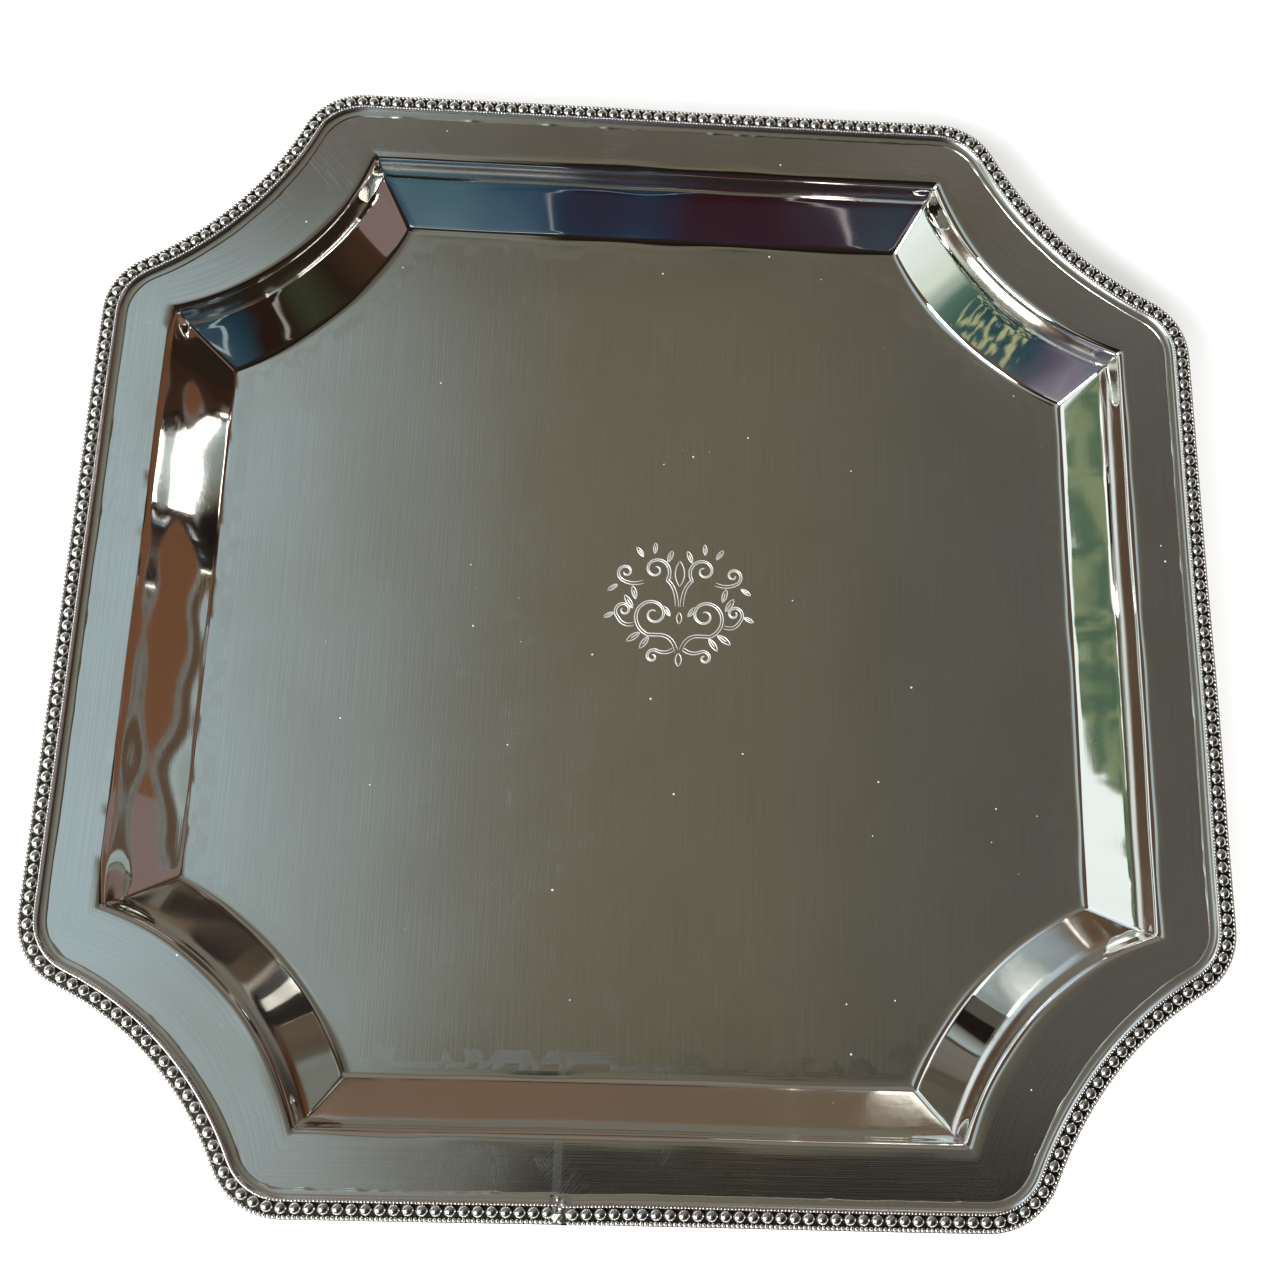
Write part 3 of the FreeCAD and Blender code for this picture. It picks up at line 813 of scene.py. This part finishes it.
def scratch_layer(nodes, place, cell, length, width, seed):
    """Fine scratches in patches, each patch in its own direction: 1 on a scratch."""
    shifted = nodes.vector("ADD", place, (seed * 17.3, seed * 9.1, 0))
    wander = nodes.make("TexNoise", {"Vector": shifted, "Scale": 1 / 40}).outputs["Color"]
    bent = nodes.vector("ADD", shifted, nodes.vector("SCALE", wander, 6.0))
    patches = nodes.make("TexVoronoi", {"Vector": bent, "Scale": 1 / cell}).outputs["Color"]
    chance = nodes.make("SeparateColor", {"Color": patches}).outputs["Red"]
    inputs = {"Vector": bent, "Axis": (0, 0, 1), "Angle": nodes.math("MULTIPLY", chance, math.tau)}
    turned = nodes.make("VectorRotate", inputs, rotation_type="AXIS_ANGLE").outputs["Vector"]
    stretched = nodes.vector("MULTIPLY", turned, (1 / length, 1 / (width * 8), 1))
    field = nodes.noise(stretched, 1.0, detail=1.0)
    from_line = nodes.math("ABSOLUTE", nodes.math("SUBTRACT", field, 0.5))
    line = nodes.smooth(from_line, 0.0, SCRATCH_LINE, 1.0, 0.0)
    present = nodes.smooth(nodes.noise(shifted, 1 / 14), *SCRATCH_PRESENT)
    return nodes.math("MULTIPLY", line, present)


def silver(name, colour, flats_roughness, wall_roughness, matt=0.0):
    """Worked silver. Finish turns it from satin (0) to mirror polish (1)."""
    material, nodes, place, finish_and_shade = new_material(name)
    flow = nodes.make("Attribute", attribute_name="flow").outputs["Vector"]
    satin = nodes.math("SUBTRACT", 1.0, finish_and_shade)

    fine = nodes.math("MULTIPLY", scratch_layer(nodes, place, *FINE_SCRATCHES), FINE_STRENGTH)
    medium = scratch_layer(nodes, place, *MEDIUM_SCRATCHES)
    long = scratch_layer(nodes, place, *LONG_SCRATCHES)
    scratches = nodes.math("MAXIMUM", nodes.math("MAXIMUM", fine, medium), long)
    brushed = nodes.noise(nodes.vector("MULTIPLY", flow, (1 / 30, 3.0, 1)), 1.0, detail=4.0)
    cloud = nodes.noise(place, 1 / 55, detail=4.0, roughness=0.6)
    grain = nodes.noise(place, 2.5, detail=3.0)

    flats = nodes.smooth(cloud, 0.3, 0.7, flats_roughness - 0.02, flats_roughness + 0.02)
    flats = nodes.math("ADD", flats, nodes.math("MULTIPLY", brushed, BRUSH_ROUGHNESS))
    rough = nodes.between(finish_and_shade, flats, wall_roughness)
    scoured = nodes.math("MULTIPLY", nodes.math("MULTIPLY", scratches, satin), SCRATCH_ROUGHNESS)
    rough = nodes.math("ADD", rough, scoured)

    tarnish = [part * share for part, share in zip(colour, (0.86, 0.82, 0.72))]
    stained = nodes.smooth(nodes.noise(place, 1 / 38, detail=5.0, distortion=0.6), 0.42, 0.72)
    stained = nodes.math("MULTIPLY", stained, nodes.math("MULTIPLY", satin, 0.3))
    metal = nodes.mix(stained, (*colour, 1), (*tarnish, 1))
    streaks = nodes.smooth(brushed, 0.35, 0.65)
    streaks = nodes.math("MULTIPLY", streaks, nodes.math("MULTIPLY", satin, STREAK_SHARE))
    metal = nodes.mix(streaks, metal, grey(STREAK_TONE))

    specks = nodes.make("TexVoronoi", {"Vector": place, "Scale": 1 / DUST_CELL}).outputs
    chance = nodes.make("SeparateColor", {"Color": specks["Color"]}).outputs
    radius = nodes.smooth(chance["Green"], 0.0, 1.0, *DUST_RADII)
    dust = nodes.math("LESS_THAN", specks["Distance"], radius)
    dust = nodes.math("MULTIPLY", dust, nodes.math("GREATER_THAN", chance["Red"], DUST_FREE))
    dust = nodes.math("MULTIPLY", dust, satin)

    texture = nodes.math("ADD", nodes.math("MULTIPLY", brushed, 0.8), nodes.math("MULTIPLY", grain, 0.35))
    shown = nodes.math("ADD", nodes.math("MULTIPLY", satin, 0.9), 0.1)
    relief = nodes.math("ADD", nodes.math("MULTIPLY", scratches, SCRATCH_RELIEF), texture)
    height = nodes.math("MULTIPLY", relief, shown)
    bump = nodes.make("Bump", {"Height": height, "Distance": SATIN_RELIEF * MM, "Strength": 0.9})
    inputs = {
        "Base Color": nodes.mix(dust, metal, grey(DUST_TONE)),
        "Metallic": nodes.math("SUBTRACT", 1.0 - matt, dust),
        "Roughness": rough,
        "Normal": bump.outputs["Normal"],
    }
    shader = nodes.make("BsdfPrincipled", inputs)
    nodes.make("OutputMaterial", {"Surface": shader.outputs["BSDF"]})
    return material


def relief_silver(name, colour, tarnish_and_shade, roughness):
    """Silver that turns to the dark recess colour where finish is low: tarnish, and in the beaded strip's
    recesses also painted shade.
    """
    material, nodes, place, finish_and_shade = new_material(name)
    cloud = nodes.noise(place, 1 / 12, detail=4.0)
    grain = nodes.noise(place, 3.0, detail=3.0)
    patchy = nodes.math("MULTIPLY", nodes.math("SUBTRACT", cloud, 0.5), 0.35)
    # Low where the finish is low; there the colour is the dark recess colour: tarnish, and on the beaded
    # strip also painted shade.
    clean_and_lit = nodes.smooth(nodes.math("ADD", finish_and_shade, patchy), 0.08, 0.62)
    rough = nodes.between(clean_and_lit, 0.5, roughness)
    bump = nodes.make("Bump", {"Height": grain, "Distance": RECESS_RELIEF * MM, "Strength": 0.6})
    inputs = {
        "Base Color": nodes.mix(clean_and_lit, (*tarnish_and_shade, 1), (*colour, 1)),
        "Metallic": 1.0,
        "Roughness": nodes.math("ADD", rough, nodes.math("MULTIPLY", grain, 0.06)),
        "Normal": bump.outputs["Normal"],
    }
    shader = nodes.make("BsdfPrincipled", inputs)
    nodes.make("OutputMaterial", {"Surface": shader.outputs["BSDF"]})
    return material


def floor_material():
    material = bpy.data.materials.new("pale_floor")
    material.use_nodes = True
    shader = material.node_tree.nodes["Principled BSDF"]
    shader.inputs["Base Color"].default_value = grey(FLOOR_TONE)
    shader.inputs["Roughness"].default_value = 0.9
    shader.inputs["Specular IOR Level"].default_value = 0.2
    shader.inputs["Emission Color"].default_value = grey(1.0)
    shader.inputs["Emission Strength"].default_value = FLOOR_GLOW
    return material


# ---------------------------------------------------------------- pieces

raised_sheet(
    silver("satin_and_mirror_silver", (0.88, 0.86, 0.81), 0.12, 0.035),
    silver("engraver_cut_silver", (0.95, 0.94, 0.90), 0.42, 0.3, 0.5),
)
# The beaded strip's near-black recess colour is tarnish and painted shade in its hollows.
beaded_strip(relief_silver("beaded_silver", (0.88, 0.86, 0.82), (0.035, 0.03, 0.025), 0.18))
solder = relief_silver("solder_silver", (0.84, 0.81, 0.73), (0.1, 0.085, 0.06), 0.2)
solder_seam(solder)
joint_blob(solder)

# ---------------------------------------------------------------- floor, light and camera

HALF_FLOOR = 3.0  # metres


def pale_floor():
    mesh = bpy.data.meshes.new("floor")
    corners = [(sx * HALF_FLOOR, sy * HALF_FLOOR, 0) for sx, sy in ((-1, -1), (1, -1), (1, 1), (-1, 1))]
    mesh.from_pydata(corners, [], [(0, 1, 2, 3)])
    mesh.materials.append(floor_material())
    floor = bpy.data.objects.new("floor", mesh)
    bpy.context.scene.collection.objects.link(floor)


def softbox(name, place, aim, width, height, radiance, colour, mirrored=True):
    """A soft rectangular light at place, in metres, turned towards aim. One that isn't mirrored
    lights the scene without showing in the silver."""
    light = bpy.data.lights.new(name, "AREA")
    light.shape = "RECTANGLE"
    light.size = width
    light.size_y = height
    light.energy = radiance * math.pi * width * height
    light.color = colour
    lamp = bpy.data.objects.new(name, light)
    lamp.location = place
    lamp.rotation_euler = (Vector(aim) - Vector(place)).to_track_quat("-Z", "Y").to_euler()
    lamp.visible_camera = False
    lamp.visible_glossy = mirrored
    bpy.context.scene.collection.objects.link(lamp)


# Soft surroundings, which the bright wall mirrors, by the direction in which it looks: degrees
# counter-clockwise from +X, then the colour near the horizon, a little above it, and higher.
SURROUNDINGS = (
    (-180, (1.2, 1.2, 1.1), (0.9, 1.0, 1.0), (1.2, 1.3, 1.4)),
    (-166, (0.9, 1.0, 0.95), (0.7, 0.8, 0.7), (0.9, 1.0, 1.0)),
    (-156, (0.10, 0.16, 0.13), (0.10, 0.18, 0.14), (0.16, 0.26, 0.24)),
    (-144, (0.02, 0.06, 0.07), (0.02, 0.07, 0.08), (0.04, 0.11, 0.13)),
    (-126, (0.015, 0.055, 0.07), (0.02, 0.06, 0.08), (0.05, 0.10, 0.12)),
    (-117, (0.10, 0.08, 0.12), (0.12, 0.10, 0.15), (0.22, 0.2, 0.27)),
    (-106, (0.16, 0.14, 0.2), (0.2, 0.18, 0.25), (0.3, 0.3, 0.36)),
    (-99, (0.10, 0.17, 0.19), (0.09, 0.17, 0.20), (0.13, 0.22, 0.26)),
    (-93, (0.04, 0.09, 0.13), (0.03, 0.07, 0.11), (0.04, 0.08, 0.13)),
    (-88, (0.012, 0.02, 0.045), (0.010, 0.02, 0.045), (0.02, 0.03, 0.06)),
    (-82, (0.035, 0.010, 0.014), (0.028, 0.008, 0.012), (0.035, 0.014, 0.022)),
    (-77, (0.045, 0.020, 0.026), (0.03, 0.014, 0.02), (0.04, 0.03, 0.045)),
    (-71, (0.04, 0.08, 0.11), (0.025, 0.06, 0.09), (0.04, 0.08, 0.11)),
    (-62, (0.015, 0.04, 0.06), (0.012, 0.035, 0.055), (0.02, 0.05, 0.07)),
    (-55, (0.03, 0.016, 0.010), (0.022, 0.011, 0.007), (0.02, 0.01, 0.007)),
    (-46, (0.03, 0.016, 0.010), (0.022, 0.011, 0.007), (0.02, 0.01, 0.007)),
    (-38, (0.040, 0.048, 0.026), (0.035, 0.042, 0.022), (0.03, 0.036, 0.02)),
    (-25, (0.030, 0.022, 0.014), (0.022, 0.014, 0.009), (0.02, 0.012, 0.008)),
    (-8, (0.10, 0.05, 0.03), (0.06, 0.03, 0.018), (0.03, 0.015, 0.010)),
    (4, (0.17, 0.085, 0.046), (0.16, 0.078, 0.042), (0.05, 0.022, 0.012)),
    (18, (0.15, 0.068, 0.034), (0.14, 0.064, 0.031), (0.04, 0.016, 0.008)),
    (29, (0.075, 0.030, 0.013), (0.07, 0.028, 0.012), (0.03, 0.012, 0.006)),
    (42, (0.12, 0.07, 0.045), (0.11, 0.07, 0.046), (0.12, 0.10, 0.08)),
    (58, (0.15, 0.085, 0.055), (0.10, 0.07, 0.05), (0.17, 0.15, 0.13)),
    (76, (0.16, 0.12, 0.09), (0.16, 0.125, 0.09), (0.20, 0.18, 0.16)),
    (98, (0.20, 0.13, 0.095), (0.20, 0.13, 0.09), (0.22, 0.20, 0.18)),
    (108, (0.5, 0.56, 0.6), (0.5, 0.6, 0.7), (0.5, 0.6, 0.72)),
    (124, (0.8, 0.95, 1.1), (0.75, 0.95, 1.15), (0.8, 1.0, 1.25)),
    (145, (1.1, 1.15, 1.15), (1.0, 1.1, 1.15), (1.1, 1.25, 1.4)),
    (180, (1.2, 1.2, 1.1), (0.9, 1.0, 1.0), (1.2, 1.3, 1.4)),
)
# Plain upright shapes in front of them: from and to in degrees, lowest and highest, lean in
# degrees per unit of height, colour.
PANELS = (
    (-13, 5, 0.02, 0.36, -20, (0.21, 0.155, 0.145)),
    (-84.8, -84.4, 0.0, 0.45, 16, (0.4, 0.4, 0.42)),
    (-82.2, -81.9, 0.0, 0.45, -14, (0.5, 0.46, 0.48)),
    (-45, -44, 0.02, 0.4, 8, (0.3, 0.3, 0.26)),
    (-66, -64.5, 0.02, 0.4, 12, (0.3, 0.38, 0.4)),
    (-112, -92, 0.40, 0.50, 0, (1.2, 1.25, 1.3)),
    (42, 52, 0.04, 0.5, 10, (0.014, 0.012, 0.012)),
    (53.5, 55.5, 0.0, 0.5, 10, (0.5, 0.48, 0.44)),
    (61, 70, 0.14, 0.42, 0, (0.03, 0.022, 0.02)),
    (69, 84, 0.0, 0.07, 0, (1.0, 1.0, 0.98)),
)
FOLIAGE = ((-150, -126, 0.10, 0.42, 0), (113, 134, 0.0, 0.24, 0))
OVERHEAD = (0.150, 0.136, 0.096, 1)
OVERHEAD_LEFT = (0.40, 0.51, 0.56, 1)
OVERHEAD_RIGHT = (0.100, 0.098, 0.086, 1)
OVERHEAD_NEAR = (0.012, 0.009, 0.008, 1)
OVERHEAD_FAR = (0.088, 0.078, 0.060, 1)
EAVES = (0.022, 0.016, 0.012, 1)
EAVES_LEFT = (0.105, 0.067, 0.042, 1)
EAVES_FAR = (0.20, 0.19, 0.17, 1)
GREENERY = (0.22, 0.28, 0.16, 1)
LEAF_SHADE = (0.08, 0.14, 0.09, 1)
SUNLIT_LEAVES = (0.42, 0.45, 0.24, 1)
BACKDROP = (0.95, 0.95, 0.95, 1)
# Heights between which one band of the surroundings turns into the next.
NEAR_TO_MIDDLE = (0.05, 0.14)
MIDDLE_TO_HIGH = (0.27, 0.36)
HIGH_TO_EAVES = (0.40, 0.48)
EAVES_TO_OVERHEAD = (0.76, 0.83)
PANEL_SIDE = 0.0015  # softness of a panel's upright sides, in turns
PANEL_END = 0.015  # and of its lower and upper end


def inside_panel(nodes, share, height, row):
    """1 inside a plain shape of the surroundings, 0 outside it."""
    start, end, low, high, lean = row
    leaned = nodes.math("ADD", share, nodes.math("MULTIPLY", height, lean / 360))
    start, end = (start + 180) / 360, (end + 180) / 360
    inside = nodes.smooth(leaned, start, start + PANEL_SIDE)
    for part in (
        nodes.smooth(leaned, end, end + PANEL_SIDE, 1.0, 0.0),
        nodes.smooth(height, low - PANEL_END, low),
        nodes.smooth(height, high, high + PANEL_END, 1.0, 0.0),
    ):
        inside = nodes.math("MULTIPLY", inside, part)
    return inside


def surroundings():
    world = bpy.data.worlds.new("surroundings")
    bpy.context.scene.world = world
    world.use_nodes = True
    nodes = Nodes(world.node_tree)
    direction = nodes.make("TexCoord").outputs["Generated"]
    parts = nodes.make("SeparateXYZ", {"Vector": direction}).outputs
    angle = nodes.math("DIVIDE", nodes.math("ARCTAN2", parts["Y"], parts["X"]), math.tau)
    warp = nodes.math("SUBTRACT", nodes.noise(direction, 3.0, detail=3.0, distortion=0.5), 0.5)
    share = nodes.math("ADD", nodes.math("ADD", angle, 0.5), nodes.math("MULTIPLY", warp, 0.05))
    height = nodes.math("ADD", parts["Z"], nodes.math("MULTIPLY", warp, 0.25))
    peak = max(max(above) for row in SURROUNDINGS for above in row[1:])
    bands = []
    for band in (1, 2, 3):
        stops = [((row[0] + 180) / 360, [part / peak for part in row[band]]) for row in SURROUNDINGS]
        bands.append(nodes.vector("SCALE", nodes.ramp(share, stops), peak))
    low, middle, high = bands
    colour = nodes.mix(nodes.smooth(height, *NEAR_TO_MIDDLE), low, middle)
    colour = nodes.mix(nodes.smooth(height, *MIDDLE_TO_HIGH), colour, high)
    for *row, tint in PANELS:
        colour = nodes.mix(inside_panel(nodes, share, height, row), colour, (*tint, 1))

    leaves = nodes.noise(direction, 40.0, detail=5.0)
    ragged = nodes.math("ADD", height, nodes.math("MULTIPLY", nodes.math("SUBTRACT", leaves, 0.5), 0.08))
    ragged = nodes.math("ADD", ragged, nodes.smooth(parts["Y"], 0.1, 0.42, 0.06, 0.0))
    ragged = nodes.math("ADD", ragged, nodes.math("MULTIPLY", warp, 0.2))
    above = nodes.smooth(ragged, 0.04, 0.05)
    below = nodes.smooth(ragged, 0.155, 0.17, 1.0, 0.0)
    green = nodes.math("MULTIPLY", above, below)
    green = nodes.math("MULTIPLY", green, nodes.smooth(parts["X"], -0.86, -0.82, 1.0, 0.0))
    foliage = nodes.mix(nodes.smooth(leaves, 0.38, 0.62), LEAF_SHADE, GREENERY)
    colour = nodes.mix(green, colour, foliage)
    sunlit = nodes.smooth(leaves, 0.52, 0.56)
    for row in FOLIAGE:
        leafy = nodes.math("MULTIPLY", inside_panel(nodes, share, height, row), sunlit)
        colour = nodes.mix(leafy, colour, SUNLIT_LEAVES)

    overhead = nodes.mix(nodes.smooth(parts["X"], 0.08, 0.30), OVERHEAD, OVERHEAD_RIGHT)
    overhead = nodes.mix(nodes.smooth(parts["X"], -0.36, 0.0, 1.0, 0.0), overhead, OVERHEAD_LEFT)
    overhead = nodes.mix(nodes.smooth(parts["Y"], 0.46, 0.56), overhead, OVERHEAD_FAR)
    nearness = nodes.math("ADD", parts["Y"], nodes.math("MULTIPLY", warp, 0.05))
    near = nodes.smooth(nearness, -0.065, -0.045, 1.0, 0.0)
    near = nodes.math("MULTIPLY", near, nodes.smooth(parts["X"], -0.10, -0.02))
    overhead = nodes.mix(near, overhead, OVERHEAD_NEAR)
    leftward = nodes.smooth(parts["X"], -0.5, -0.3, 1.0, 0.0)
    raised = nodes.math("ADD", parts["Z"], nodes.math("MULTIPLY", leftward, 0.1))
    eaves = nodes.mix(nodes.smooth(parts["Y"], 0.30, 0.55), EAVES, EAVES_FAR)
    eaves = nodes.mix(leftward, eaves, EAVES_LEFT)
    colour = nodes.mix(nodes.smooth(raised, *HIGH_TO_EAVES), colour, eaves)
    colour = nodes.mix(nodes.smooth(parts["Z"], *EAVES_TO_OVERHEAD), colour, overhead)
    seen = nodes.make("LightPath").outputs["Is Camera Ray"]
    background = nodes.make("Background", {"Color": nodes.mix(seen, colour, BACKDROP)})
    nodes.make("OutputWorld", {"Surface": background.outputs["Background"]})


pale_floor()
softbox("window", (-1.3, -0.9, 1.3), (0, 0, 0), 1.2, 0.8, 14.0, (1.0, 1.0, 1.0))
softbox("behind_camera", (-0.2, -1.3, 1.25), (0, 0, 0), 1.2, 0.5, 11.0, (1.0, 0.99, 0.97), mirrored=False)
surroundings()

CAMERA_PLACE = (-0.0153, -0.0970, 0.3470)
CAMERA_TURN = (15.08, -2.81, 1.49)  # degrees about X, Y and Z
IMAGE_HEIGHT = 1282
FOCAL_PIXELS = 1411.3

camera_data = bpy.data.cameras.new("camera")
camera_data.sensor_width = 36
camera_data.lens = FOCAL_PIXELS * camera_data.sensor_width / IMAGE_HEIGHT
camera_data.clip_start = 0.01
camera = bpy.data.objects.new("camera", camera_data)
camera.location = CAMERA_PLACE
camera.rotation_euler = [math.radians(angle) for angle in CAMERA_TURN]
bpy.context.scene.collection.objects.link(camera)

scene = bpy.context.scene
scene.camera = camera
scene.view_settings.view_transform = "Standard"
scene.cycles.use_denoising = True
scene.cycles.max_bounces = 8
scene.cycles.glossy_bounces = 6
scene.cycles.sample_clamp_indirect = 6.0
